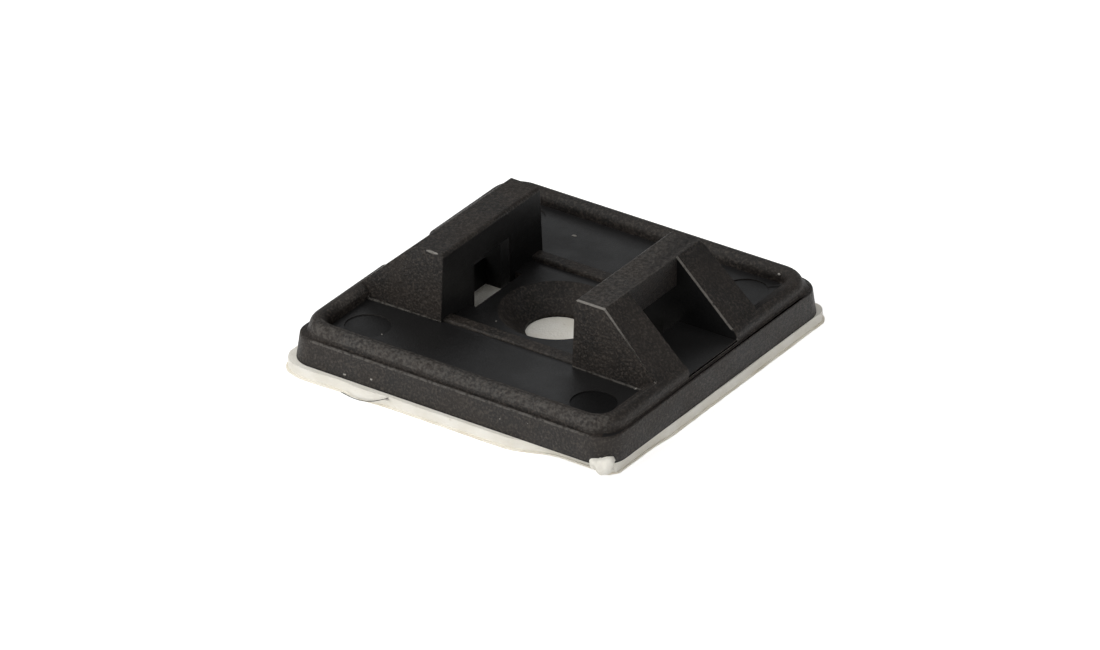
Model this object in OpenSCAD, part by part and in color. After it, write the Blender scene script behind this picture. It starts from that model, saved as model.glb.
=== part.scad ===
// Adhesive cable tie mount: a square moulded base with a rounded raised rim, a
// countersunk screw hole in its middle and two slotted bridges for cable ties,
// on a foam tape pad that still carries its paper release liner.
// Millimetres. +Z is up and X runs across the two bridges, from one to the other.
// The origin is on the underside of the liner, below the centre of the base.

/* [Base] */
// Side of the square base at its underside
base_w = 28; // [26:0.5:40]
// Corner radius of the base at its underside
base_corner_r = 2; // [1.5:0.1:3]
// Height of the lower band of the side, up to the ledge
band_h = 2; // [1.5:0.1:3]
// How far the band leans in between its foot and the ledge
band_draft = 0.28; // [0.1:0.02:0.4]
// Thickness of the base under the recessed floor
floor_t = 2.06; // [1.6:0.02:2.4]
// Radius of each ejector pin mark in the floor
ejector_r = 1.7; // [0.8:0.1:2]
// Depth of the ejector pin marks
ejector_depth = 0.08; // [0.04:0.02:0.2]
// Distance of the ejector pin marks from the edge of the base
ejector_inset = 4.25; // [4:0.05:4.6]

/* [Rim] */
// Width of the ledge between the band and the rim
ledge_w = 0.29; // [0.15:0.01:0.5]
// Corner radius of the rim's outer side
rim_corner_r = 2.4; // [2:0.1:3]
// Radius of the rim's round crown, half of the rim's width
crown_r = 0.7; // [0.5:0.05:0.8]
// Height of the crown's top above the recessed floor
rim_h = 1; // [0.8:0.05:1.4]

/* [Screw hole] */
// Diameter of the screw hole
hole_d = 4.7; // [3.2:0.1:5.2]
// Diameter of the countersink where it meets the central floor
sink_d = 8.6; // [7:0.1:9.4]
// Height of the straight part of the screw hole
hole_land = 0.3; // [0.2:0.05:0.8]
// Thickness of the base under the central floor
centre_t = 1.9; // [1.5:0.02:2]

/* [Bridges] */
// Clear width between the two bridges
channel_w = 11.36; // [10:0.02:13]
// Length of each bridge along its top
bridge_l = 12.24; // [11:0.02:16]
// How far each end face leans out between the top and the floor
end_draft = 0.34; // [0.1:0.02:0.6]
// Height of the bridges above the recessed floor
bridge_h = 5.37; // [4:0.01:6]
// Width of the flat top of each bridge, and of its bar
bar_w = 2.54; // [2:0.02:3.5]
// Depth of the bar over the tie slot
bar_t = 2.38; // [1.5:0.02:2.6]
// Angle of the outer slope below the horizontal
slope_angle = 43.2; // [40:0.2:50]
// Radius along the inner top edge of each bridge
top_edge_r = 0.3; // [0.1:0.05:0.8]
// Radius along the outer top edge of each bridge
outer_edge_r = 0.15; // [0.05:0.05:0.4]

/* [Tie slots] */
// Width of the tie slot at the channel
slot_w = 4.4; // [3:0.1:5.5]
// Width of the recess between the gussets of one bridge
recess_w = 6.1; // [5.6:0.1:6.6]
// Distance over which the slot's jambs flare out to the recess
flare_l = 1.4; // [0.8:0.1:1.9]
// Height of the recess floor above the recessed floor of the base
recess_rise = 0.16; // [0.05:0.01:0.3]
// Width of the notch in the channel's floor at the foot of each bridge
notch_w = 5.84; // [4.5:0.02:6.4]
// How far that notch reaches into the channel
notch_reach = 0.58; // [0.2:0.02:1]
// How far the opening in the base reaches out past the bar
window_gap = 0.18; // [0.02:0.02:0.4]

/* [Ribs] */
// Width of the two low ribs that close the channel's floor
rib_w = 1.1; // [0.6:0.05:1.4]
// Height of the ribs above the recessed floor
rib_rise = 0.21; // [0.1:0.01:0.6]
// Radius along the top edges of the ribs
rib_edge_r = 0.18; // [0.05:0.01:0.25]
// How far the ribs stand back from the feet of the bridges' end faces
rib_setback = 0.28; // [0.1:0.02:0.6]

/* [Pad] */
// Thickness of the foam tape
foam_t = 0.75; // [0.5:0.05:1.6]
// Thickness of the paper liner
liner_t = 0.13; // [0.1:0.01:0.3]
// How far the foam stands out past the base, on average
foam_proud = 0.22; // [0.1:0.02:0.5]
// How far the liner stands out past the foam
liner_proud = 0.15; // [0.05:0.01:0.5]
// Corner radius of the die-cut foam
foam_corner_r = 1.1; // [0.5:0.1:2]
// How far the pad lies off centre towards -X
pad_shift_x = 0.16; // [0:0.02:0.2]
// How far the pad lies off centre towards -Y
pad_shift_y = 0.12; // [0:0.02:0.2]
// Length of the swollen stretch of the foam's front edge
swell_l = 4.6; // [2:0.1:8]
// How far the swollen stretch stands out past the edge
swell_out = 0.3; // [0.1:0.05:0.6]
// Centre of the swollen stretch along X
swell_x = -7; // [-8:0.5:0]
// Length of the stretch of the front edge that is cut back
nick_l = 4.4; // [2:0.1:6]
// How far that stretch is cut back
nick_in = 0.5; // [0.1:0.05:0.8]
// Distance of its centre from the side of the base
nick_inset = 3.4; // [3:0.1:6]
// Radius of the bead of foam pressed out at the front corner
bead_r = 0.7; // [0.5:0.05:0.9]
// Distance of the bead's centre from the side of the base
bead_inset_x = 0.7; // [0.5:0.05:1]
// Distance of the bead's centre from the front of the base
bead_inset_y = 0.25; // [0.1:0.05:0.5]

/* [Hidden] */
$fn = 64;
// Overlap that carries a cut past the face it goes through
cut = 1;
// Running clearance between the foam bead and the corner it climbs
bead_gap = 0.05;

pad_t = foam_t + liner_t;
half_base = base_w / 2;
half_band_top = half_base - band_draft;
half_rim = half_band_top - ledge_w;
half_crown = half_rim - crown_r;

rim_top = floor_t + rim_h;
crown_z = rim_top - crown_r;

inner_x = channel_w / 2;
bar_x = inner_x + bar_w;
bridge_top = floor_t + bridge_h;
slot_top = bridge_top - bar_t;
end_y_top = bridge_l / 2;
end_y_foot = end_y_top + end_draft;
recess_z = floor_t + recess_rise;
// The slope ends on the outer side of the rim's crown
slope_end_x = half_crown + crown_r / 3;
slope_end_z = bridge_top - (slope_end_x - bar_x) * tan(slope_angle);

rib_outer_y = end_y_foot - rib_setback;
rib_top = floor_t + rib_rise;

foam_half = half_base + foam_proud;
liner_half = foam_half + liner_proud;
liner_corner_r = foam_corner_r + liner_proud;

// Turns its children into the four corners of the base
module at_four_corners() {
  for (turn = [0:90:270])
    rotate([0, 0, turn]) children();
}

// Puts its children on both bridges
module on_both_sides() {
  children();
  mirror([1, 0, 0]) children();
}

// Square plate with round corners; its sides lean in by `draft` over its height
module drafted_plate(half, corner_r, height, draft = 0) {
  core = half - corner_r;
  side = [[-half, 0], [half, 0], [half - draft, height], [draft - half, height]];
  for (turn = [0, 90])
    rotate([90, 0, turn])
      linear_extrude(2 * core, center = true) polygon(side);
  at_four_corners()
    translate([core, core, 0])
      cylinder(h = height, r1 = corner_r, r2 = corner_r - draft);
}

// Section of the rim, from the foot of the band up to the round crown;
// x is measured outwards from the middle of the rim
module rim_section() {
  translate([-crown_r, 0]) square([2 * crown_r, crown_z]);
  translate([0, crown_z]) circle(r = crown_r);
}

// Raised rim that runs round the recessed floor
module rim() {
  path_r = rim_corner_r - crown_r;
  core = half_crown - path_r;
  at_four_corners() {
    translate([half_crown, 0, 0])
      rotate([90, 0, 0])
        linear_extrude(2 * core, center = true) rim_section();
    translate([core, core, 0])
      rotate_extrude(angle = 90)
        intersection() {
          translate([path_r, 0]) rim_section();
          square([rim_corner_r + cut, rim_top + cut]);
        }
  }
}

// Side view of a bridge across its length, with its inner and outer top edges
// rounded and its slope running down to the rim
module bridge_section() {
  flat_end = bar_x - outer_edge_r * tan(slope_angle / 2);
  polygon([
    [inner_x, 0],
    [inner_x, bridge_top - top_edge_r],
    [inner_x + top_edge_r, bridge_top],
    [flat_end, bridge_top],
    [bar_x + outer_edge_r * tan(slope_angle / 2) * cos(slope_angle),
     bridge_top - outer_edge_r * tan(slope_angle / 2) * sin(slope_angle)],
    [slope_end_x, slope_end_z],
    [slope_end_x, 0]
  ]);
  translate([inner_x + top_edge_r, bridge_top - top_edge_r]) circle(r = top_edge_r);
  translate([flat_end, bridge_top - outer_edge_r]) circle(r = outer_edge_r);
}

// Outline of a bridge seen along X: its two end faces lean out towards the floor
module bridge_ends() {
  draft_rate = end_draft / bridge_h;
  foot_y = end_y_foot + floor_t * draft_rate;
  polygon([[-foot_y, 0], [foot_y, 0], [end_y_top, bridge_top], [-end_y_top, bridge_top]]);
}

// Solid of one bridge before the slot and the recess are cut
module bridge_blank() {
  intersection() {
    rotate([90, 0, 0])
      linear_extrude(2 * (end_y_foot + cut), center = true) bridge_section();
    rotate([90, 0, 90])
      linear_extrude(half_base) bridge_ends();
  }
}

// Plan of the tie slot and of the opening below it: the jambs flare from the
// channel to the recess
module slot_plan() {
  half_in = slot_w / 2;
  half_out = recess_w / 2;
  flare_x = inner_x + flare_l;
  outer_x = bar_x + window_gap;
  polygon([
    [inner_x - notch_reach, -half_in],
    [inner_x, -half_in],
    [flare_x, -half_out],
    [outer_x, -half_out],
    [outer_x, half_out],
    [flare_x, half_out],
    [inner_x, half_in],
    [inner_x - notch_reach, half_in]
  ]);
}

// Everything that is cut out of one side for the tie
module tie_passage() {
  // Slot under the bar, and on through the base to the pad
  translate([0, 0, -cut])
    linear_extrude(slot_top + cut) slot_plan();
  // Notch in the channel's floor at the foot of the bridge
  translate([inner_x - notch_reach, -notch_w / 2, -cut])
    cube([notch_reach, notch_w, centre_t + 2 * cut]);
  // Recess between the gussets, open outwards through the rim
  translate([bar_x, -recess_w / 2, recess_z])
    cube([half_base, recess_w, bridge_top]);
}

// Section of one low rib, with its top edges rounded
module rib_section() {
  inner_y = rib_outer_y - rib_w;
  translate([inner_y, 0]) square([rib_w, rib_top - rib_edge_r]);
  translate([inner_y + rib_edge_r, 0]) square([rib_w - 2 * rib_edge_r, rib_top]);
  for (edge_y = [inner_y + rib_edge_r, rib_outer_y - rib_edge_r])
    translate([edge_y, rib_top - rib_edge_r]) circle(r = rib_edge_r);
}

// Low ribs that join the two bridges at both ends of the channel
module ribs() {
  for (side = [0, 1])
    mirror([0, side, 0])
      rotate([90, 0, 90])
        linear_extrude(channel_w + 2 * top_edge_r, center = true) rib_section();
}

// Central floor between the ribs, a little lower than the recessed floor
module centre_pocket() {
  pocket_l = 2 * (rib_outer_y - rib_w / 2);
  translate([-inner_x, -pocket_l / 2, centre_t])
    cube([channel_w, pocket_l, floor_t]);
}

// Screw hole with its countersink, cut from below the base upwards
module screw_hole() {
  translate([0, 0, -cut]) cylinder(h = cut + hole_land, d = hole_d);
  translate([0, 0, hole_land])
    cylinder(h = centre_t - hole_land, d1 = hole_d, d2 = sink_d);
  translate([0, 0, centre_t]) cylinder(h = cut, d = sink_d);
}

// Shallow round marks that the ejector pins leave near the corners
module ejector_marks() {
  place = half_base - ejector_inset;
  at_four_corners()
    translate([place, place, floor_t - ejector_depth])
      cylinder(h = rim_h, r = ejector_r);
}

// Moulded body, with z = 0 on its own underside
module body_solid() {
  difference() {
    union() {
      difference() {
        union() {
          drafted_plate(half_base, base_corner_r, band_h, band_draft);
          drafted_plate(half_crown, rim_corner_r - crown_r, floor_t);
          rim();
        }
        centre_pocket();
        ejector_marks();
      }
      ribs();
      on_both_sides() bridge_blank();
    }
    on_both_sides() tie_passage();
    screw_hole();
  }
}

// Body in one moulding: base, rim, bridges and ribs
module mount_body() {
  color([0.11, 0.105, 0.1])
    translate([0, 0, pad_t]) body_solid();
}

// Slice of a disc that bulges by `rise` over a chord along X of length `chord`;
// the chord's middle is the origin and the bulge points towards -Y
module edge_arc(chord, rise, height) {
  arc_r = (chord * chord / 4 + rise * rise) / (2 * rise);
  intersection() {
    translate([0, arc_r - rise, 0]) cylinder(h = height, r = arc_r, $fn = 128);
    translate([-chord / 2, -rise - cut, 0]) cube([chord, rise + 2 * cut, height]);
  }
}

// Layer of the pad, `half` to each side, with its front edge cut back near the
// front corner
module pad_layer(half, corner_r, height) {
  nick_x = half_base - nick_inset + pad_shift_x;
  difference() {
    drafted_plate(half, corner_r, height);
    translate([nick_x, -half, -cut])
      mirror([0, 1, 0]) edge_arc(nick_l, nick_in, height + 2 * cut);
  }
}

// Bead of foam pressed out at the front corner and up against the base
module foam_bead() {
  difference() {
    translate([half_base - bead_inset_x, bead_inset_y - half_base, pad_t])
      sphere(r = bead_r);
    translate([0, 0, pad_t])
      drafted_plate(half_base + bead_gap, base_corner_r + bead_gap, band_h, band_draft);
  }
}

// Foam tape: full square, with no hole under the screw hole
module foam_pad() {
  color([0.9, 0.88, 0.82]) {
    translate([-pad_shift_x, -pad_shift_y, liner_t]) {
      pad_layer(foam_half, foam_corner_r, foam_t);
      translate([swell_x + pad_shift_x, -foam_half, 0])
        edge_arc(swell_l, swell_out, foam_t);
    }
    foam_bead();
  }
}

// Paper liner on the underside of the foam
module release_liner() {
  color([0.93, 0.9, 0.82])
    translate([-pad_shift_x, -pad_shift_y, 0])
      pad_layer(liner_half, liner_corner_r, liner_t);
}

mount_body();
foam_pad();
release_liner();
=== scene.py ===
"""Looks of an adhesive cable tie mount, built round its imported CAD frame.

Everything is in metres, in the frame of the CAD model: +Z up, X across the two
bridges, Y along them, and z = 0 on the underside of the paper liner.
"""
import logging
import math
from dataclasses import dataclass
from enum import Enum

import bmesh
import bpy
from mathutils import Matrix, Vector, noise


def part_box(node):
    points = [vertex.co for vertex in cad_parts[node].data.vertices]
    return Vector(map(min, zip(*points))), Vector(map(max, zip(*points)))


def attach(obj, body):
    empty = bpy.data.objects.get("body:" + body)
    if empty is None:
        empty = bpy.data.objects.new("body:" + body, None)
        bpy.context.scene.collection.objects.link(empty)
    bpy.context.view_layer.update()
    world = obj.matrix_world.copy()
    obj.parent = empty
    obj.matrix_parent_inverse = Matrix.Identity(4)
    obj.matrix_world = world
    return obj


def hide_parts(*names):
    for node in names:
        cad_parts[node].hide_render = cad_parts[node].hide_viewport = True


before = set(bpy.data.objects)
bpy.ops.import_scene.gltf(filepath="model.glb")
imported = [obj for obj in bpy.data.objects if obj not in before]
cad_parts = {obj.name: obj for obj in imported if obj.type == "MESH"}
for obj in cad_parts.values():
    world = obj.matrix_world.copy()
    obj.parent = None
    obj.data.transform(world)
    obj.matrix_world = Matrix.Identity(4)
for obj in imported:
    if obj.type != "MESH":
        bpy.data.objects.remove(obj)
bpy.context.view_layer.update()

LOG = logging.getLogger("tie_mount")
MM = 0.001

# Levels that every piece shares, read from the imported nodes
PAD_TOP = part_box("mount_body")[0][2]
LINER_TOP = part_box("release_liner")[1][2]
BRIDGE_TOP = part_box("mount_body")[1][2]
HALF_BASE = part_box("mount_body")[1][0]

# Least share of a unit normal along an axis for its face to count as looking that way
FACING_UP = 0.9
FACING_SIDE = 0.5

Colour = tuple[float, float, float]


class Coord(Enum):
    """Texture coordinates that a material may read."""

    OBJECT = "Object"


class Zone(Enum):
    """Face attributes of the moulding that its material reads."""

    WEAR_AND_HIGHLIGHT = "edge_wear_and_highlight"
    FLOOR = "smooth_floor"
    MARK = "pin_mark_and_shade"


# ---------------------------------------------------------------- node tools


class NodeTree:
    """Short calls for laying out one shader node tree."""

    def __init__(self, tree: bpy.types.NodeTree) -> None:
        """Keeps the tree.

        Args:
            tree: The material's or group's node tree.
        """
        self.tree = tree

    def add(self, kind: str, **values: object) -> bpy.types.Node:
        """Adds a node and sets its properties.

        Args:
            kind: The node's type name, without the ShaderNode prefix.
            **values: Properties of the node.

        Returns:
            The new node.
        """
        node = self.tree.nodes.new("ShaderNode" + kind)
        for name, value in values.items():
            setattr(node, name, value)
        return node

    def join(self, source: bpy.types.NodeSocket, target: bpy.types.NodeSocket) -> None:
        """Links one socket to another."""
        self.tree.links.new(source, target)

    def noise(self, vector: bpy.types.NodeSocket, scale: float,
              detail: float = 3.0) -> bpy.types.Node:
        """Adds a noise texture.

        Args:
            vector: Coordinates to read.
            scale: Cells for each metre.
            detail: Octaves.

        Returns:
            The noise node.
        """
        node = self.add("TexNoise")
        node.inputs["Scale"].default_value = scale
        node.inputs["Detail"].default_value = detail
        self.join(vector, node.inputs["Vector"])
        return node

    def span(self, value: bpy.types.NodeSocket, low: float, high: float,
             to_low: float = 0.0, to_high: float = 1.0) -> bpy.types.NodeSocket:
        """Maps a value from one range to another, smoothly and clamped.

        Args:
            value: Socket to read.
            low: Start of the input range.
            high: End of the input range.
            to_low: Result at the start.
            to_high: Result at the end.

        Returns:
            The mapped value.
        """
        node = self.add("MapRange", interpolation_type="SMOOTHSTEP")
        self.join(value, node.inputs["Value"])
        limits = {"From Min": low, "From Max": high, "To Min": to_low, "To Max": to_high}
        for name, number in limits.items():
            node.inputs[name].default_value = number
        return node.outputs["Result"]

    def math(self, operation: str, first: object, second: object) -> bpy.types.NodeSocket:
        """Adds a math node.

        Args:
            operation: Name of the operation.
            first: Socket or number.
            second: Socket or number.

        Returns:
            The result socket.
        """
        node = self.add("Math", operation=operation)
        for socket, value in zip(node.inputs, (first, second)):
            if isinstance(value, (int, float)):
                socket.default_value = value
            else:
                self.join(value, socket)
        return node.outputs["Value"]

    def mix(self, factor: bpy.types.NodeSocket, first: object, second: object) -> bpy.types.NodeSocket:
        """Mixes two colours.

        Args:
            factor: Socket from 0, the first colour, to 1, the second.
            first: Socket or colour.
            second: Socket or colour.

        Returns:
            The mixed colour.
        """
        node = self.add("Mix", data_type="RGBA")
        self.join(factor, node.inputs["Factor"])
        for name, value in (("A", first), ("B", second)):
            socket = next(s for s in node.inputs if s.name == name and s.type == "RGBA")
            if isinstance(value, tuple):
                socket.default_value = (*value, 1.0)
            else:
                self.join(value, socket)
        return next(s for s in node.outputs if s.type == "RGBA")


class GrainGroup:
    """Fine grain that all finishes share, as one shader node group."""

    NAME = "fine_grain"
    FINE_ROUGHNESS = 0.65
    MOTTLE_SPAN = (0.3, 0.7)

    @classmethod
    def get(cls) -> bpy.types.NodeTree:
        """Builds the group once.

        Returns:
            The group, with inputs Vector, Scale and Coarse and outputs Height and Mottle.
        """
        if cls.NAME in bpy.data.node_groups:
            return bpy.data.node_groups[cls.NAME]
        group = bpy.data.node_groups.new(cls.NAME, "ShaderNodeTree")
        face = group.interface
        face.new_socket("Vector", in_out="INPUT", socket_type="NodeSocketVector")
        for in_out, names in (("INPUT", ("Scale", "Coarse")), ("OUTPUT", ("Height", "Mottle"))):
            for name in names:
                face.new_socket(name, in_out=in_out, socket_type="NodeSocketFloat")
        tree = NodeTree(group)
        source = group.nodes.new("NodeGroupInput")
        target = group.nodes.new("NodeGroupOutput")
        fine = tree.noise(source.outputs["Vector"], 1.0, 4.0)
        tree.join(source.outputs["Scale"], fine.inputs["Scale"])
        fine.inputs["Roughness"].default_value = cls.FINE_ROUGHNESS
        coarse = tree.noise(source.outputs["Vector"], 1.0, 3.0)
        tree.join(source.outputs["Coarse"], coarse.inputs["Scale"])
        tree.join(fine.outputs["Fac"], target.inputs["Height"])
        tree.join(tree.span(coarse.outputs["Fac"], *cls.MOTTLE_SPAN), target.inputs["Mottle"])
        return group

    @classmethod
    def place(cls, tree: NodeTree, vector: bpy.types.NodeSocket, scale: float,
              coarse: float) -> bpy.types.Node:
        """Places the group in a material.

        Args:
            tree: The material's tree.
            vector: Coordinates to read.
            scale: Grains for each metre.
            coarse: Patches for each metre.

        Returns:
            The group node.
        """
        node = tree.add("Group", node_tree=cls.get())
        tree.join(vector, node.inputs["Vector"])
        node.inputs["Scale"].default_value = scale
        node.inputs["Coarse"].default_value = coarse
        return node


@dataclass(frozen=True)
class Finish:
    """What every finish of the object has: grains and patches for each metre, and relief."""

    name: str
    grain: float
    coarse: float
    relief: float = 0.3
    depth: float = 0.02 * MM

    def start(self) -> tuple[bpy.types.Material, NodeTree, bpy.types.Node, bpy.types.NodeSocket]:
        """Makes the material with its shader.

        Returns:
            The material, its tree, the Principled BSDF and the object coordinates.
        """
        material = bpy.data.materials.new(self.name)
        material.use_nodes = True
        tree = NodeTree(material.node_tree)
        shader = material.node_tree.nodes["Principled BSDF"]
        vector = tree.add("TexCoord").outputs[Coord.OBJECT.value]
        return material, tree, shader, vector

    def bump(self, tree: NodeTree, shader: bpy.types.Node, height: bpy.types.NodeSocket) -> None:
        """Feeds a height to the shader's normal.

        Args:
            tree: The material's tree.
            shader: The Principled BSDF.
            height: Height from 0 to 1.
        """
        node = tree.add("Bump")
        node.inputs["Strength"].default_value = self.relief
        node.inputs["Distance"].default_value = self.depth
        tree.join(height, node.inputs["Height"])
        tree.join(node.outputs["Normal"], shader.inputs["Normal"])


@dataclass(frozen=True)
class BlackNylon(Finish):
    """Black moulded nylon: spark-eroded grain outside, smoother on its floors."""

    name: str = "black_nylon"
    grain: float = 4600.0
    coarse: float = 330.0
    relief: float = 1.0
    depth: float = 0.1 * MM
    dark: Colour = (0.0088, 0.0076, 0.0068)
    brown: Colour = (0.0200, 0.0155, 0.0125)
    fleck: Colour = (0.0500, 0.0415, 0.0350)
    floor: Colour = (0.0092, 0.0090, 0.0091)
    # Dark colour of the pin marks, also painted shade at the foot, on the recess walls and on the bar
    # ends.
    mark_and_shade: Colour = (0.0030, 0.0031, 0.0033)
    # Pale colour for wear, which also paints highlights on the edges, crown and ledge that catch the
    # light.
    worn_and_highlight: Colour = (0.21, 0.198, 0.182)
    shine: float = 0.33
    mark_and_shade_shine: float = 0.12
    # A thin band at the foot, where the moulding meets the foam, is darkened as painted shade.
    foot_low: float = PAD_TOP + 0.03 * MM
    foot_high: float = PAD_TOP + 0.11 * MM
    roughness: float = 0.5
    rough_spread: tuple[float, float] = (-0.04, 0.06)
    floor_roughness: float = 0.42
    floor_relief: float = 0.25
    fleck_scale: float = 5600.0
    fleck_span: tuple[float, float] = (0.44, 0.70)
    patch_scale: float = 3600.0
    patch_span: tuple[float, float] = (0.46, 0.72)
    patch_gain: float = 0.45

    def build(self) -> bpy.types.Material:
        """Builds the material.

        Returns:
            The material.
        """
        material, tree, shader, vector = self.start()
        grain = GrainGroup.place(tree, vector, self.grain, self.coarse)
        floor, wear_and_highlight, mark_and_shade = (
            tree.add("Attribute", attribute_name=zone.value).outputs["Fac"]
            for zone in (Zone.FLOOR, Zone.WEAR_AND_HIGHLIGHT, Zone.MARK))
        rough_skin = tree.math("SUBTRACT", 1.0, floor)
        skin = tree.mix(grain.outputs["Mottle"], self.dark, self.brown)
        flecks = tree.span(tree.noise(vector, self.fleck_scale).outputs["Fac"], *self.fleck_span)
        skin = tree.mix(flecks, skin, self.fleck)
        skin = tree.mix(floor, skin, self.floor)
        # Painted shade: a thin band at the foot takes the dark mark colour and less shine.
        parts = tree.add("SeparateXYZ")
        tree.join(vector, parts.inputs["Vector"])
        foot = tree.span(parts.outputs["Z"], self.foot_low, self.foot_high, 1.0, 0.0)
        dull = tree.math("MAXIMUM", mark_and_shade, foot)
        skin = tree.mix(dull, skin, self.mark_and_shade)
        # Pale patches for wear and painted highlights on the edges and faces marked for them.
        patches = tree.noise(vector, self.patch_scale).outputs["Fac"]
        patches = tree.math("ADD", patches, tree.math("MULTIPLY", wear_and_highlight, self.patch_gain))
        patches = tree.math("MULTIPLY", wear_and_highlight, tree.span(patches, *self.patch_span))
        skin = tree.mix(patches, skin, self.worn_and_highlight)
        tree.join(skin, shader.inputs["Base Color"])
        least, most = (self.roughness + part for part in self.rough_spread)
        rough = tree.span(grain.outputs["Mottle"], 0.0, 1.0, least, most)
        drop = tree.math("MULTIPLY", floor, self.roughness - self.floor_roughness)
        tree.join(tree.math("SUBTRACT", rough, drop), shader.inputs["Roughness"])
        shine = tree.span(dull, 0.0, 1.0, self.shine, self.mark_and_shade_shine)
        tree.join(shine, shader.inputs["Specular IOR Level"])
        flatten = tree.span(rough_skin, 0.0, 1.0, self.floor_relief, 1.0)
        self.bump(tree, shader, tree.math("MULTIPLY", grain.outputs["Height"], flatten))
        return material


@dataclass(frozen=True)
class FoamTape(Finish):
    """Off-white closed-cell foam with fine open cells along its cut edge."""

    name: str = "foam_tape"
    grain: float = 5200.0
    coarse: float = 420.0
    relief: float = 0.6
    depth: float = 0.06 * MM
    pale: Colour = (0.93, 0.91, 0.85)
    shade: Colour = (0.84, 0.81, 0.73)
    soiled: Colour = (0.55, 0.50, 0.42)
    roughness: float = 0.85
    shine: float = 0.25
    cell_scale: float = 5200.0
    cell_height: float = 0.6
    soil_scale: float = 1300.0
    soil_detail: float = 5.0
    soil_span: tuple[float, float] = (0.66, 0.82)

    def build(self) -> bpy.types.Material:
        """Builds the material.

        Returns:
            The material.
        """
        material, tree, shader, vector = self.start()
        grain = GrainGroup.place(tree, vector, self.grain, self.coarse)
        cells = tree.add("TexVoronoi")
        cells.inputs["Scale"].default_value = self.cell_scale
        tree.join(vector, cells.inputs["Vector"])
        pits = tree.math("MULTIPLY", cells.outputs["Distance"], self.cell_height)
        height = tree.math("ADD", grain.outputs["Height"], pits)
        body = tree.mix(grain.outputs["Mottle"], self.pale, self.shade)
        soil = tree.noise(vector, self.soil_scale, self.soil_detail).outputs["Fac"]
        soil = tree.span(soil, *self.soil_span)
        tree.join(tree.mix(soil, body, self.soiled), shader.inputs["Base Color"])
        shader.inputs["Roughness"].default_value = self.roughness
        shader.inputs["Specular IOR Level"].default_value = self.shine
        self.bump(tree, shader, height)
        return material


@dataclass(frozen=True)
class LinerPaper(Finish):
    """Cream release paper with a faint waxy sheen and short fibres."""

    name: str = "liner_paper"
    grain: float = 3600.0
    coarse: float = 500.0
    cream: Colour = (0.92, 0.89, 0.80)
    tan: Colour = (0.80, 0.75, 0.64)
    rough_span: tuple[float, float] = (0.5, 0.66)

    def build(self) -> bpy.types.Material:
        """Builds the material.

        Returns:
            The material.
        """
        material, tree, shader, vector = self.start()
        grain = GrainGroup.place(tree, vector, self.grain, self.coarse)
        paper = tree.mix(grain.outputs["Mottle"], self.cream, self.tan)
        tree.join(paper, shader.inputs["Base Color"])
        rough = tree.span(grain.outputs["Mottle"], 0.0, 1.0, *self.rough_span)
        tree.join(rough, shader.inputs["Roughness"])
        self.bump(tree, shader, grain.outputs["Height"])
        return material


@dataclass(frozen=True)
class PaleDustAndGlint(Finish):
    """Pale specks of dust and swarf; also the burr, pale as a painted glint."""

    name: str = "pale_dust_and_glint"
    grain: float = 9000.0
    coarse: float = 1500.0
    relief: float = 0.4
    colour: Colour = (0.42, 0.40, 0.37)
    dull: Colour = (0.2, 0.19, 0.175)
    roughness: float = 0.7

    def build(self) -> bpy.types.Material:
        """Builds the material.

        Returns:
            The material.
        """
        material, tree, shader, vector = self.start()
        grain = GrainGroup.place(tree, vector, self.grain, self.coarse)
        dust_and_glint = tree.mix(grain.outputs["Mottle"], self.colour, self.dull)
        tree.join(dust_and_glint, shader.inputs["Base Color"])
        shader.inputs["Roughness"].default_value = self.roughness
        self.bump(tree, shader, grain.outputs["Height"])
        return material


@dataclass(frozen=True)
class StudioPaper(Finish):
    """White floor that keeps the object's shadow."""

    name: str = "studio_paper"
    grain: float = 900.0
    coarse: float = 20.0
    white: Colour = (0.88, 0.88, 0.88)
    grey: float = 0.985
    roughness: float = 0.9
    lift: float = 0.64

    def build(self) -> bpy.types.Material:
        """Builds the material.

        Returns:
            The material.
        """
        material, tree, shader, vector = self.start()
        grain = GrainGroup.place(tree, vector, self.grain, self.coarse)
        near = tuple(self.grey * part for part in self.white)
        tree.join(tree.mix(grain.outputs["Mottle"], self.white, near), shader.inputs["Base Color"])
        shader.inputs["Roughness"].default_value = self.roughness
        shader.inputs["Specular IOR Level"].default_value = 0.0
        light = tree.add("LightPath").outputs
        seen = tree.math("MAXIMUM", light["Is Camera Ray"], light["Is Glossy Ray"])
        seen = tree.math("MAXIMUM", seen, light["Is Transmission Ray"])
        shader.inputs["Emission Color"].default_value = (1.0, 1.0, 1.0, 1.0)
        tree.join(tree.math("MULTIPLY", seen, self.lift), shader.inputs["Emission Strength"])
        return material


# ---------------------------------------------------------------- mesh tools


def new_object(name: str, bm: bmesh.types.BMesh, material: bpy.types.Material) -> bpy.types.Object:
    """Turns a bmesh into an object at the origin.

    Args:
        name: Name of the object and its mesh.
        bm: The finished bmesh, which is freed.
        material: Its only material.

    Returns:
        The object, linked to the scene.
    """
    mesh = bpy.data.meshes.new(name)
    bm.to_mesh(mesh)
    bm.free()
    mesh.materials.append(material)
    piece = bpy.data.objects.new(name, mesh)
    bpy.context.scene.collection.objects.link(piece)
    return piece


def shade_by_angle(piece: bpy.types.Object, angle: float) -> None:
    """Shades a piece smooth, apart from edges sharper than an angle.

    Args:
        piece: The object.
        angle: The angle, in degrees.
    """
    piece.data.shade_smooth()
    piece.data.set_sharp_from_angle(angle=math.radians(angle))


def above_pad(place: Vector) -> Vector:
    """Gives a place in millimetres, with z = 0 on the moulding's underside.

    Args:
        place: A place in the CAD frame, in metres.

    Returns:
        The same place.
    """
    return (place - Vector((0.0, 0.0, PAD_TOP))) / MM


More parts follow.
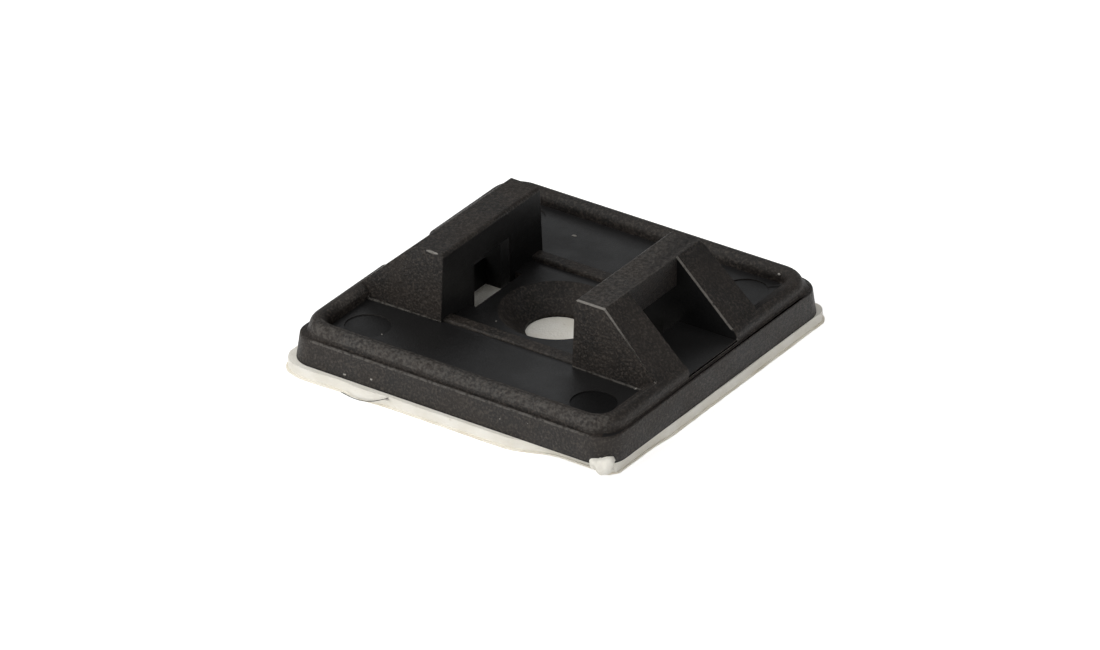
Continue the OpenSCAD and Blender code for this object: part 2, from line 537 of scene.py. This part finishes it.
def bell(value: float, centre: float, width: float) -> float:
    """Raised cosine that is 1 at a centre and 0 half a width away.

    Args:
        value: Where to read it.
        centre: Its centre.
        width: Its whole width.

    Returns:
        A number from 0 to 1.
    """
    away = abs(value - centre) * 2.0 / width
    return 0.0 if away >= 1.0 else 0.5 + 0.5 * math.cos(math.pi * away)


def shelf(value: float, low: float, high: float, ramp: float) -> float:
    """Flat 1 between two places, falling smoothly to 0 outside them.

    Args:
        value: Where to read it.
        low: Start of the flat part.
        high: End of the flat part.
        ramp: Length of each fall.

    Returns:
        A number from 0 to 1.
    """
    away = max(low - value, value - high, 0.0) / ramp
    return 0.0 if away >= 1.0 else 0.5 + 0.5 * math.cos(math.pi * away)


# ---------------------------------------------------------------- the pieces


@dataclass(frozen=True)
class WornHighlightEdge:
    """A stretch of edge or crease made pale, for wear and a painted highlight; places in millimetres
    above the pad.
    """

    start: tuple[float, float, float]
    end: tuple[float, float, float]
    strength: float

    def holds(self, place: Vector, reach: float) -> bool:
        """Says whether a point lies on the stretch.

        Args:
            place: The point, in millimetres above the pad.
            reach: How far away it may lie.

        Returns:
            True if it does.
        """
        start, end = Vector(self.start), Vector(self.end)
        along = end - start
        share = max(0.0, min(1.0, (place - start).dot(along) / along.length_squared))
        return (place - start - along * share).length < reach


@dataclass
class MountBody:
    """The moulding, with its edges broken as the mould leaves them.

    Sizes are millimetres above the pad, apart from radii, slivers and pushes, which are
    metres, and wear with painted highlight and marks with painted shade, which run from 0 to 1.
    """

    node: str = "mount_body"
    edge_radius: float = 0.07 * MM
    worn_highlight_radius: float = 0.12 * MM
    ledge_radius: float = 0.13 * MM
    crease_radius: float = 0.15 * MM
    sharp_angle: float = 24.0
    smooth_angle: float = 38.0
    flat_angle: float = 0.5
    weld: float = 0.001 * MM
    sliver: float = 0.03 * MM
    floor_low: float = 1.7
    floor_high: float = 2.24
    recess_half: float = 13.0
    marks: tuple[tuple[float, float, float], ...] = (
        (1.0, -1.0, 0.75), (-1.0, -1.0, 0.4), (1.0, 1.0, 0.22), (-1.0, 1.0, 0.05))
    mark_at: float = 9.75
    mark_r: float = 1.74
    mark_z: tuple[float, float] = (1.9, 2.05)
    top_wear_and_highlight: tuple[float, float] = (0.06, 0.17)
    wall_shade: float = 0.4
    crown_wear_and_highlight: float = 0.2
    ledge_highlight: float = 0.34
    reach: float = 0.16
    near: float = 0.1
    foot_z: float = 0.05
    low_z: float = 2.3
    inner_x: float = 5.98
    bar_x: float = 8.2
    slope_end: tuple[float, float] = (12.89, 3.04)
    top_z: float = 7.42
    top_y: float = 6.12
    foot_y: float = 6.46
    foot_x: float = 12.03
    floor_z: float = 2.06
    recess_x: float = 5.62
    recess_wall_x: float = 5.75
    recess_y: float = 3.05
    recess_top: float = 5.0
    bar_end_x: tuple[float, float] = (8.1, 8.4)
    bar_end_z: tuple[float, float] = (5.1, 7.3)
    crown_y: float = -12.2
    crown_z: float = 2.25
    crown_half: float = 12.8
    front_y: float = -13.0
    ledge_z: float = 2.0
    ledge_out: float = 13.72
    ledge_in: float = 13.43
    ledge_level: float = 0.03
    ledge_depth: float = 0.12
    ledge_height: float = 0.15
    rim_core: float = 11.03
    side_push: tuple[float, float] = (0.48 * MM, 0.2 * MM)

    def worn_highlight_edges(self) -> tuple[WornHighlightEdge, ...]:
        """Lists the pale edges, for wear and a painted highlight, most of them on the right bridge.

        Returns:
            The edges.
        """
        end_x, end_z = self.slope_end
        slope_y = self.foot_y - 0.06
        front_top = (self.bar_x, -self.top_y, self.top_z)
        inner_top = (self.inner_x, -self.top_y, self.top_z)
        foot = (self.foot_x, -self.foot_y, self.floor_z)
        low, high = 2.22, self.top_z - 0.05
        return (
            WornHighlightEdge(inner_top, front_top, 0.95),
            WornHighlightEdge(front_top, (end_x, -slope_y, end_z), 0.7),
            WornHighlightEdge((self.bar_x, self.recess_y, high), (end_x, self.recess_y, end_z), 0.55),
            WornHighlightEdge((self.bar_x, self.foot_y - 0.34, self.top_z),
                     (9.4, self.foot_y - 0.3, 6.4), 0.5),
            WornHighlightEdge((self.inner_x, -self.foot_y, self.floor_z), foot, 0.34),
            WornHighlightEdge((-self.inner_x, -self.foot_y, self.floor_z),
                     (-self.foot_x, -self.foot_y, self.floor_z), 0.36),
            WornHighlightEdge((self.ledge_in, -self.recess_y, low),
                     (self.ledge_in, self.recess_y, low), 0.25),
        )

    def is_sharp(self, edge: bmesh.types.BMEdge) -> bool:
        """Says whether an edge joins two faces at a sharp angle.

        Args:
            edge: An edge of the merged moulding.

        Returns:
            True if it does.
        """
        return len(edge.link_faces) == 2 and edge.calc_face_angle() >= math.radians(self.sharp_angle)

    def is_broken(self, edge: bmesh.types.BMEdge) -> bool:
        """Says whether an edge is rounded: outward ones, off the floors and the foot.

        Args:
            edge: An edge of the merged moulding.

        Returns:
            True if the bevel rounds it.
        """
        if not self.is_sharp(edge):
            return False
        place = above_pad((edge.verts[0].co + edge.verts[1].co) / 2)
        inside = max(abs(place.x), abs(place.y)) < self.recess_half
        low = place.z < self.foot_z or (inside and place.z < self.low_z)
        far_top = place.x < -self.bar_x + self.near and place.z > self.top_z - self.near
        return edge.calc_face_angle_signed() > 0 and not low and not far_top

    def is_worn_highlight(self, edge: bmesh.types.BMEdge) -> bool:
        """Says whether an edge is one of the pale ones, for wear and a painted highlight.

        Args:
            edge: An edge of the merged moulding.

        Returns:
            True if its middle lies on a pale stretch and an end close by.
        """
        if not self.is_sharp(edge):
            return False
        ends = [above_pad(vert.co) for vert in edge.verts]
        middle = (ends[0] + ends[1]) / 2
        return any(worn_and_highlight.holds(middle, self.reach)
                   and any(worn_and_highlight.holds(end, self.reach * 3) for end in ends)
                   for worn_and_highlight in self.worn_highlight_edges())

    def ledge_edges(self, bm: bmesh.types.BMesh, half: float) -> list[bmesh.types.BMEdge]:
        """Finds the ring of edges along one side of the ledge round the rim.

        Args:
            bm: The moulding.
            half: The ring's distance from the middle, in millimetres.

        Returns:
            The edges.
        """
        ring = []
        for edge in bm.edges:
            if self.is_sharp(edge):
                ends = [above_pad(vert.co) for vert in edge.verts]
                flat = all(abs(end.z - self.ledge_z) < self.ledge_level for end in ends)
                outer = all(self.rim_distance(end) > half - self.ledge_depth for end in ends)
                outward = edge.calc_face_angle_signed() > 0
                if flat and outer and outward == (half == self.ledge_out):
                    ring.append(edge)
        return ring

    def rim_offset(self, place: Vector) -> Vector:
        """Measures how far a place lies past the square inside the rim's corners.

        Args:
            place: The place, in millimetres.

        Returns:
            The flat offset, in millimetres, which is 0 along an axis inside the square.
        """
        return Vector((math.copysign(max(0.0, abs(place.x) - self.rim_core), place.x),
                       math.copysign(max(0.0, abs(place.y) - self.rim_core), place.y), 0.0))

    def rim_distance(self, place: Vector) -> float:
        """Measures how far out a place lies, round the rim's corners too.

        Args:
            place: The place, in millimetres.

        Returns:
            The distance, in millimetres.
        """
        return self.rim_core + self.rim_offset(place).length

    def lean_wall(self, bm: bmesh.types.BMesh) -> None:
        """Leans the rim's wall outwards at the two side corners, where the ledge narrows.

        Args:
            bm: The moulding.
        """
        verts = {vert for edge in self.ledge_edges(bm, self.ledge_in) for vert in edge.verts}
        for vert in verts:
            out = self.rim_offset(above_pad(vert.co))
            if out.length > 0.0 and out.x * out.y > 0.0:
                out.normalize()
                amount = self.side_push[0] if out.x > 0.0 else self.side_push[1]
                vert.co += out * amount * 2.0 * out.x * out.y

    def build(self, material: bpy.types.Material) -> bpy.types.Object:
        """Builds the piece from a merged copy of its CAD node.

        Args:
            material: The nylon.

        Returns:
            The dressed moulding.
        """
        bm = bmesh.new()
        bm.from_mesh(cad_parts[self.node].data)
        bmesh.ops.remove_doubles(bm, verts=bm.verts, dist=self.weld)
        bmesh.ops.dissolve_limit(bm, angle_limit=math.radians(self.flat_angle), verts=bm.verts,
                                 edges=bm.edges)
        bmesh.ops.remove_doubles(bm, verts=bm.verts, dist=self.sliver)
        bmesh.ops.recalc_face_normals(bm, faces=bm.faces)
        self.lean_wall(bm)
        crease = [edge for edge in self.ledge_edges(bm, self.ledge_in)
                  if all(above_pad(vert.co).x > self.rim_core for vert in edge.verts)]
        rings = ((self.ledge_edges(bm, self.ledge_out), self.ledge_radius),
                 (crease, self.crease_radius))
        taken = {edge for ring, _ in rings for edge in ring}
        # Edges paled for wear and a painted highlight; the log counts them as rubbed.
        worn_and_highlight = [edge for edge in bm.edges if edge not in taken and self.is_worn_highlight(edge)]
        taken.update(worn_and_highlight)
        broken = [edge for edge in bm.edges if edge not in taken and self.is_broken(edge)]
        LOG.info("moulding: %d faces, %d edges to round, %d rubbed",
                 len(bm.faces), len(broken), len(worn_and_highlight))
        for ring, radius in (*rings, (worn_and_highlight, self.worn_highlight_radius), (broken, self.edge_radius)):
            self.round_off(bm, [edge for edge in ring if edge.is_valid], radius)
        self.mark_zones(bm)
        piece = new_object("moulded_body", bm, material)
        shade_by_angle(piece, self.smooth_angle)
        normals = piece.modifiers.new("flat_faces", "WEIGHTED_NORMAL")
        normals.keep_sharp = True
        return piece

    def round_off(self, bm: bmesh.types.BMesh, edges: list[bmesh.types.BMEdge],
                  radius: float) -> None:
        """Rounds some edges.

        Args:
            bm: The moulding.
            edges: The edges.
            radius: Width of the rounding on each side of the edge.
        """
        bmesh.ops.bevel(bm, geom=edges, offset=radius, offset_type="OFFSET", segments=3, profile=0.5,
                        affect="EDGES", clamp_overlap=False, material=-1)

    def mark_zones(self, bm: bmesh.types.BMesh) -> None:
        """Marks the pale edges and faces for wear and painted highlight, smooth floors, and pin marks
        with painted shade, as face attributes.

        Args:
            bm: The moulding.
        """
        for zone in Zone:
            bm.faces.layers.float.new(zone.value)
        wear_and_highlight, floor, mark_and_shade = (bm.faces.layers.float[zone.value]
                             for zone in (Zone.WEAR_AND_HIGHLIGHT, Zone.FLOOR, Zone.MARK))
        for face in bm.faces:
            place = above_pad(face.calc_center_median())
            inside = max(abs(place.x), abs(place.y)) < self.recess_half
            flat = face.normal.z > FACING_UP
            side, height = abs(place.x), place.z
            between = abs(place.y) < self.recess_y + 0.02
            recess = between and side > self.recess_x and height < self.recess_top and inside
            if recess or (flat and inside and self.floor_low < height < self.floor_high):
                face[floor] = 1.0
            # Painted shade: the bar ends and the recess walls are darkened towards the dark mark
            # colour.
            bar_end = (abs(place.y) < self.recess_y
                       and self.bar_end_z[0] < height < self.bar_end_z[1]
                       and self.bar_end_x[0] < side < self.bar_end_x[1])
            if bar_end or (recess and side > self.recess_wall_x and not flat):
                face[mark_and_shade] = self.wall_shade
            # Bridge tops: pale wear patches, stronger on the right bridge as a painted highlight.
            if flat and height > self.top_z - self.near:
                face[wear_and_highlight] = self.top_wear_and_highlight[int(place.x > 0.0)]
            # Front crown: pale patches, wear and a painted highlight where it catches the light.
            if place.y < self.crown_y and height > self.crown_z and side < self.crown_half:
                face[wear_and_highlight] = self.crown_wear_and_highlight
            for side_x, side_y, strength in self.marks:
                pin = Vector((place.x - side_x * self.mark_at, place.y - side_y * self.mark_at))
                if pin.length < self.mark_r and self.mark_z[0] < height < self.mark_z[1]:
                    face[mark_and_shade] = strength
            # Thin rounding faces along the listed edges are paled for wear and a painted highlight.
            longest = max(edge.calc_length() for edge in face.edges)
            if face.calc_area() < longest * self.worn_highlight_radius:
                found = [worn_and_highlight.strength for worn_and_highlight in self.worn_highlight_edges()
                         if worn_and_highlight.holds(place, self.reach)]
                on_ledge = (abs(self.rim_distance(place) - self.ledge_out) < self.near
                            and abs(height - self.ledge_z) < self.ledge_height)
                # Front ledge: paled as a painted highlight.
                if on_ledge and place.y < self.front_y:
                    found.append(self.ledge_highlight)
                face[wear_and_highlight] = max(found, default=face[wear_and_highlight])

    def dress(self, piece: bpy.types.Object) -> None:
        """Puts the piece in place of its CAD node.

        Args:
            piece: The moulding.
        """
        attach(piece, "root")
        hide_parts(self.node)


@dataclass
class PadLayer:
    """A die-cut layer of the pad with a hand-laid, uneven edge."""

    name: str
    node: str
    slot: str
    bottom: float
    top: float
    corner_r: float
    wave: float
    rings: int
    seed: float
    swell: float
    swell_x: float = -6.9 * MM
    swell_l: float = 4.6 * MM
    left_swell: float = 0.12 * MM
    left_x: float = -11.4 * MM
    left_l: float = 5.0 * MM
    left_cut: float = 0.26 * MM
    flush: float = 1.15 * MM
    side_flush: float = 0.22 * MM
    flush_from: float = 9.6 * MM
    corner_cut: float = 0.5 * MM
    cuts: int = 150
    smooth_angle: float = 45.0
    slow_scale: float = 260.0
    quick_scale: float = 1500.0
    quick_rise: float = 1.7
    slow_share: float = 0.7
    quick_share: float = 0.45
    belly_from: float = 0.25
    belly_least: float = 0.45
    front_y: float = -5.0 * MM
    flush_ramp: float = 4.5 * MM
    flush_end: float = 0.9
    end_ramp: float = 1.6 * MM
    side_to: float = -9.0 * MM
    side_ramp: float = 3.0 * MM

    def outline(self) -> bmesh.types.BMesh:
        """Makes the flat outline with round corners and closely spaced points.

        Returns:
            A bmesh with one face.
        """
        low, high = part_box(self.node)
        half = min(high[0] - low[0], high[1] - low[1]) / 2
        bm = bmesh.new()
        bmesh.ops.create_grid(bm, x_segments=1, y_segments=1, size=half)
        centre = Vector(((low[0] + high[0]) / 2, high[1] - half, self.bottom))
        bmesh.ops.bevel(bm, geom=bm.verts[:], offset=self.corner_r, offset_type="OFFSET",
                        segments=8, profile=0.5, affect="VERTICES", material=-1)
        sides = [e for e in bm.edges if e.calc_length() > half]
        bmesh.ops.subdivide_edges(bm, edges=sides, cuts=self.cuts)
        bmesh.ops.translate(bm, verts=bm.verts, vec=centre)
        return bm

    def build(self, material: bpy.types.Material) -> bpy.types.Object:
        """Raises the outline in rings and pushes its edge out of true.

        Args:
            material: Finish of the layer.

        Returns:
            The layer.
        """
        bm = self.outline()
        step = (self.top - self.bottom) / self.rings
        face = bm.faces[:][0]
        for _ in range(self.rings):
            grown = bmesh.ops.extrude_face_region(bm, geom=[face])["geom"]
            face = next(g for g in grown if isinstance(g, bmesh.types.BMFace))
            lifted = [g for g in grown if isinstance(g, bmesh.types.BMVert)]
            bmesh.ops.translate(bm, verts=lifted, vec=(0.0, 0.0, step))
        open_edges = [e for e in bm.edges if len(e.link_faces) == 1]
        if open_edges:
            bmesh.ops.holes_fill(bm, edges=open_edges, sides=0)
        inside = [f for f in bm.faces if abs(f.normal.z) > FACING_UP
                  and self.bottom + step / 2 < f.calc_center_median().z < self.top - step / 2]
        bmesh.ops.delete(bm, geom=inside, context="FACES")
        for vert in bm.verts:
            self.push(vert)
        bmesh.ops.recalc_face_normals(bm, faces=bm.faces)
        self.finish(bm)
        piece = new_object(self.name, bm, material)
        shade_by_angle(piece, self.smooth_angle)
        return piece

    def push(self, vert: bmesh.types.BMVert) -> None:
        """Moves one point of the edge out of true.

        Args:
            vert: A point of the layer's edge.
        """
        place = vert.co.copy()
        core = HALF_BASE - self.corner_r
        flat = Vector((place.x, place.y, 0.0))
        inner = Vector((max(-core, min(core, place.x)), max(-core, min(core, place.y)), 0.0))
        out = (flat - inner).normalized()
        share = (place.z - self.bottom) / (self.top - self.bottom)
        slow = noise.noise(flat * self.slow_scale + Vector((self.seed, 0.0, 0.0)))
        quick = noise.noise(Vector((flat.x * self.quick_scale, flat.y * self.quick_scale,
                                    share * self.quick_rise + self.seed)))
        amount = self.wave * (self.slow_share * slow + self.quick_share * quick)
        if out.y < -FACING_SIDE:
            belly = math.sin(math.pi * min(1.0, self.belly_from + share))
            belly = self.belly_least + (1.0 - self.belly_least) * belly
            amount += self.swell * bell(place.x, self.swell_x, self.swell_l) * belly
            amount += self.left_swell * bell(place.x, self.left_x, self.left_l)
        if out.x < 0.0 and out.y < 0.0:
            amount -= self.left_cut * 2.0 * out.x * out.y
        if place.y < self.front_y and place.x > 0.0:
            if out.y < -FACING_SIDE:
                run = shelf(place.x, self.flush_from, HALF_BASE * 2, self.flush_ramp)
                run *= shelf(place.x, -HALF_BASE, self.flush_end * HALF_BASE, self.end_ramp)
                amount -= self.flush * run
            if out.x > FACING_SIDE:
                side = shelf(place.y, -HALF_BASE * 2, self.side_to, self.side_ramp)
                amount -= self.side_flush * side
            amount -= self.corner_cut * max(0.0, -2.0 * out.x * out.y)
        vert.co = place + out * amount

    def finish(self, bm: bmesh.types.BMesh) -> None:
        """Leaves a plain layer as it is.

        Args:
            bm: The layer, which is not used here.
        """

    def dress(self, piece: bpy.types.Object) -> None:
        """Puts the layer in place of its CAD node.

        Args:
            piece: The layer.
        """
        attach(piece, "root")
        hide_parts(self.node)


@dataclass
class FoamPad(PadLayer):
    """The foam tape, with the bead that is pressed out at the front corner."""

    name: str = "foam_tape_pad"
    node: str = "foam_pad"
    slot: str = "foam_tape"
    bottom: float = LINER_TOP
    top: float = PAD_TOP
    corner_r: float = 1.1 * MM
    wave: float = 0.07 * MM
    rings: int = 6
    seed: float = 3.1
    swell: float = 0.32 * MM
    bead_at: tuple[float, float] = (13.15 * MM, -13.6 * MM)
    bead_r: float = 0.72 * MM
    bead_stretch: tuple[float, float, float] = (1.2, 0.95, 0.9)
    bead_turn: float = 38.0
    bead_lumps: tuple[tuple[float, float], ...] = ((1500.0, 0.45), (4200.0, 0.16))

    def finish(self, bm: bmesh.types.BMesh) -> None:
        """Adds the bead of foam that has crept up the corner of the base.

        Args:
            bm: The foam.
        """
        centre = Vector((*self.bead_at, PAD_TOP))
        stretch = Matrix.Diagonal((*self.bead_stretch, 1.0))
        turn = Matrix.Rotation(math.radians(self.bead_turn), 4, "Z")
        made = bmesh.ops.create_icosphere(
            bm, subdivisions=4, radius=self.bead_r,
            matrix=Matrix.Translation(centre) @ turn @ stretch)
        for vert in made["verts"]:
            lump = sum(noise.noise(vert.co * scale) * size for scale, size in self.bead_lumps)
            vert.co += (vert.co - centre) * lump

    def dress(self, piece: bpy.types.Object) -> None:
        """Args:
            piece: The foam.
        """
        super().dress(piece)


@dataclass
class ReleaseLiner(PadLayer):
    """The paper liner on the underside of the foam."""

    name: str = "paper_liner"
    node: str = "release_liner"
    slot: str = "liner_paper"
    bottom: float = 0.0
    top: float = LINER_TOP
    corner_r: float = 1.25 * MM
    wave: float = 0.04 * MM
    rings: int = 1
    seed: float = 8.4
    swell: float = 0.12 * MM


@dataclass
class Specks:
    """Pale specks on the moulding and along its foot: x, y, height above the pad and radius."""

    places: tuple[tuple[float, float, float, float], ...] = (
        (-5.0, 9.5, 2.06, 0.15),
        (-2.7, -3.8, 1.9, 0.07),
        (-8.2, -10.2, 2.06, 0.07),
        (-8.8, -13.93, 0.35, 0.12),
        (-6.5, -13.89, 0.68, 0.12),
        (-4.75, -14.5, -0.12, 0.11),
        (4.56, -13.85, 1.0, 0.06),
        (6.9, -13.79, 1.36, 0.05),
        (11.2, -6.5, 2.1, 0.1),
        (11.1, 12.1, 2.72, 0.13),
    )
    stretch: tuple[float, float, float] = (1.3, 0.8, 0.55)
    turn_step: float = 1.3
    rough_scale: float = 9000.0
    rough_share: float = 0.5
    smooth_angle: float = 60.0

    def build(self, material: bpy.types.Material) -> bpy.types.Object:
        """Builds all specks as one piece.

        Args:
            material: The dust.

        Returns:
            The specks.
        """
        bm = bmesh.new()
        for count, (x, y, z, radius) in enumerate(self.places):
            centre = Vector((x, y, z)) * MM + Vector((0.0, 0.0, PAD_TOP))
            turn = Matrix.Rotation(self.turn_step * count, 4, "Z")
            shape = Matrix.Diagonal((*self.stretch, 1.0))
            made = bmesh.ops.create_icosphere(
                bm, subdivisions=2, radius=radius * MM,
                matrix=Matrix.Translation(centre) @ turn @ shape)
            for vert in made["verts"]:
                lump = noise.noise(vert.co * self.rough_scale) * self.rough_share
                vert.co += (vert.co - centre) * lump
        piece = new_object("pale_specks", bm, material)
        shade_by_angle(piece, self.smooth_angle)
        return piece

    def dress(self, piece: bpy.types.Object) -> None:
        """Fixes the specks to the object.

        Args:
            piece: The specks.
        """
        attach(piece, "root")


@dataclass
class TapeShadowLine:
    """Dark line painted as the shadow in the swollen stretch of the foam, from its foot up to the
    base.
    """

    radius: float = 0.026 * MM
    route: tuple[tuple[float, float, float], ...] = (
        (-9.0, -14.42, 0.06), (-8.2, -14.62, 0.03), (-7.2, -14.76, 0.04), (-6.4, -14.74, 0.16),
        (-5.7, -14.62, 0.36), (-5.1, -14.5, 0.62), (-4.7, -14.38, 0.84))

    def build(self, material: bpy.types.Material) -> bpy.types.Object:
        """Builds the painted shadow line as a thin curve.

        Args:
            material: Its dark finish.

        Returns:
            The crease.
        """
        data = bpy.data.curves.new("tape_shadow_line", "CURVE")
        data.dimensions = "3D"
        data.bevel_depth = self.radius
        data.bevel_resolution = 1
        data.use_fill_caps = True
        spline = data.splines.new("NURBS")
        spline.points.add(len(self.route) - 1)
        for point, place in zip(spline.points, self.route):
            point.co = (*(Vector(place) * MM), 1.0)
        spline.use_endpoint_u = True
        spline.order_u = 4
        data.materials.append(material)
        piece = bpy.data.objects.new("tape_shadow_line", data)
        bpy.context.scene.collection.objects.link(piece)
        return piece

    def dress(self, piece: bpy.types.Object) -> None:
        """Fixes the shadow line to the object.

        Args:
            piece: The crease.
        """
        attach(piece, "root")


@dataclass
class BurrGlint:
    """Thin flash left on the front top corner of the left bridge, coloured pale as a painted glint."""

    start: tuple[float, float] = (-7.1 * MM, -6.14 * MM)
    length: float = 1.0 * MM
    height: float = 0.16 * MM
    width: float = 0.14 * MM
    sunk: float = 0.04 * MM
    edge_radius: float = 0.02 * MM
    taper_share: float = 1.3
    wander_scale: float = 6000.0
    wander: float = 0.03 * MM
    smooth_angle: float = 50.0

    def build(self, material: bpy.types.Material) -> bpy.types.Object:
        """Builds the burr as a low uneven ridge.

        Args:
            material: The pale dust finish, which paints the glint on the burr.

        Returns:
            The burr.
        """
        bm = bmesh.new()
        bmesh.ops.create_cube(bm, size=1.0)
        bmesh.ops.scale(bm, verts=bm.verts, vec=(self.length, self.width, self.height))
        along = [e for e in bm.edges
                 if abs((e.verts[0].co - e.verts[1].co).x) > self.length / 2]
        bmesh.ops.subdivide_edges(bm, edges=along, cuts=7, use_grid_fill=True)
        bmesh.ops.bevel(bm, geom=bm.edges[:], offset=self.edge_radius, segments=1, profile=0.5,
                        affect="EDGES", material=-1)
        for vert in bm.verts:
            taper = bell(vert.co.x, 0.0, self.length * self.taper_share)
            wander = noise.noise(vert.co * self.wander_scale)
            vert.co.z *= 0.3 + taper * (0.9 + 0.7 * wander)
            vert.co.y = vert.co.y * (0.4 + 0.6 * taper) + self.wander * wander
        place = Vector((self.start[0] + self.length / 2, self.start[1], BRIDGE_TOP - self.sunk))
        bmesh.ops.translate(bm, verts=bm.verts, vec=place)
        bmesh.ops.recalc_face_normals(bm, faces=bm.faces)
        piece = new_object("edge_burr_glint", bm, material)
        shade_by_angle(piece, self.smooth_angle)
        return piece

    def dress(self, piece: bpy.types.Object) -> None:
        """Fixes the burr to the object.

        Args:
            piece: The burr.
        """
        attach(piece, "root")


# ---------------------------------------------------------------- the studio


@dataclass(frozen=True)
class Lamp:
    """A square area lamp that faces the object."""

    name: str
    way: tuple[float, float, float]
    power: float
    colour: Colour = (1.0, 0.99, 0.97)
    away: float = 0.75
    size: float = 0.45

    def place(self) -> None:
        """Adds the lamp to the scene."""
        data = bpy.data.lights.new(self.name, "AREA")
        data.size = self.size
        data.energy = self.power
        data.color = self.colour
        lamp = bpy.data.objects.new(self.name, data)
        bpy.context.scene.collection.objects.link(lamp)
        spot = Vector(self.way).normalized() * self.away
        turn = spot.to_track_quat("Z", "Y").to_matrix().to_4x4()
        lamp.matrix_world = Matrix.Translation(spot) @ turn


@dataclass
class Studio:
    """Camera, floor and soft lights."""

    lens: float = 286.1
    azimuth: float = 34.477
    elevation: float = 29.528
    roll: float = -0.15
    eye: tuple[float, float, float] = (0.308762, -0.450583, 0.310926)
    sensor: float = 36.0
    near_clip: float = 0.01
    floor_half: float = 2.0
    world: float = 0.11
    lamps: tuple[Lamp, ...] = (
        Lamp("key_lamp", (-0.55, -0.55, 0.65), 2.45),
        Lamp("low_lamp", (-0.2, -0.95, 0.25), 1.36),
        Lamp("left_lamp", (-0.7, 0.0, 0.7), 0.5),
        Lamp("right_lamp", (0.5, -0.6, 0.6), 0.22),
        Lamp("low_right_lamp", (0.95, -0.45, 0.17), 1.3, size=0.2),
        Lamp("top_lamp", (0.0, 0.0, 1.0), 1.1),
        Lamp("rear_lamp", (-0.45, 0.65, 0.6), 0.46, (0.96, 0.98, 1.0)),
    )

    def camera(self) -> None:
        """Places the camera."""
        data = bpy.data.cameras.new("camera")
        data.lens = self.lens
        data.sensor_width = self.sensor
        data.sensor_fit = "HORIZONTAL"
        data.clip_start = self.near_clip
        camera = bpy.data.objects.new("camera", data)
        bpy.context.scene.collection.objects.link(camera)
        turn = (Matrix.Rotation(math.radians(self.azimuth), 4, "Z")
                @ Matrix.Rotation(math.radians(90.0 - self.elevation), 4, "X")
                @ Matrix.Rotation(math.radians(self.roll), 4, "Z"))
        camera.matrix_world = Matrix.Translation(self.eye) @ turn
        bpy.context.scene.camera = camera

    def floor(self) -> None:
        """Lays the white floor."""
        bm = bmesh.new()
        bmesh.ops.create_grid(bm, x_segments=8, y_segments=8, size=self.floor_half)
        new_object("studio_floor", bm, StudioPaper().build())

    def build(self) -> None:
        """Builds camera, lights and floor."""
        self.camera()
        for lamp in self.lamps:
            lamp.place()
        world = bpy.data.worlds.new("soft_room")
        world.use_nodes = True
        shade = world.node_tree.nodes["Background"]
        shade.inputs["Color"].default_value = (1.0, 1.0, 1.0, 1.0)
        shade.inputs["Strength"].default_value = self.world
        bpy.context.scene.world = world
        bpy.context.scene.view_settings.view_transform = "Standard"
        self.floor()


def main() -> None:
    """Builds the studio and every piece."""
    logging.basicConfig(level=logging.INFO, format="%(message)s")
    Studio().build()
    nylon = BlackNylon().build()
    dust_and_glint = PaleDustAndGlint().build()
    parts = (
        (MountBody(), nylon),
        (TapeShadowLine(), nylon),
        (FoamPad(), FoamTape().build()),
        (ReleaseLiner(), LinerPaper().build()),
        (Specks(), dust_and_glint),
        (BurrGlint(), dust_and_glint),
    )
    for part, material in parts:
        piece = part.build(material)
        part.dress(piece)
        LOG.info("%s is built", piece.name)


if __name__ == "__main__":
    main()
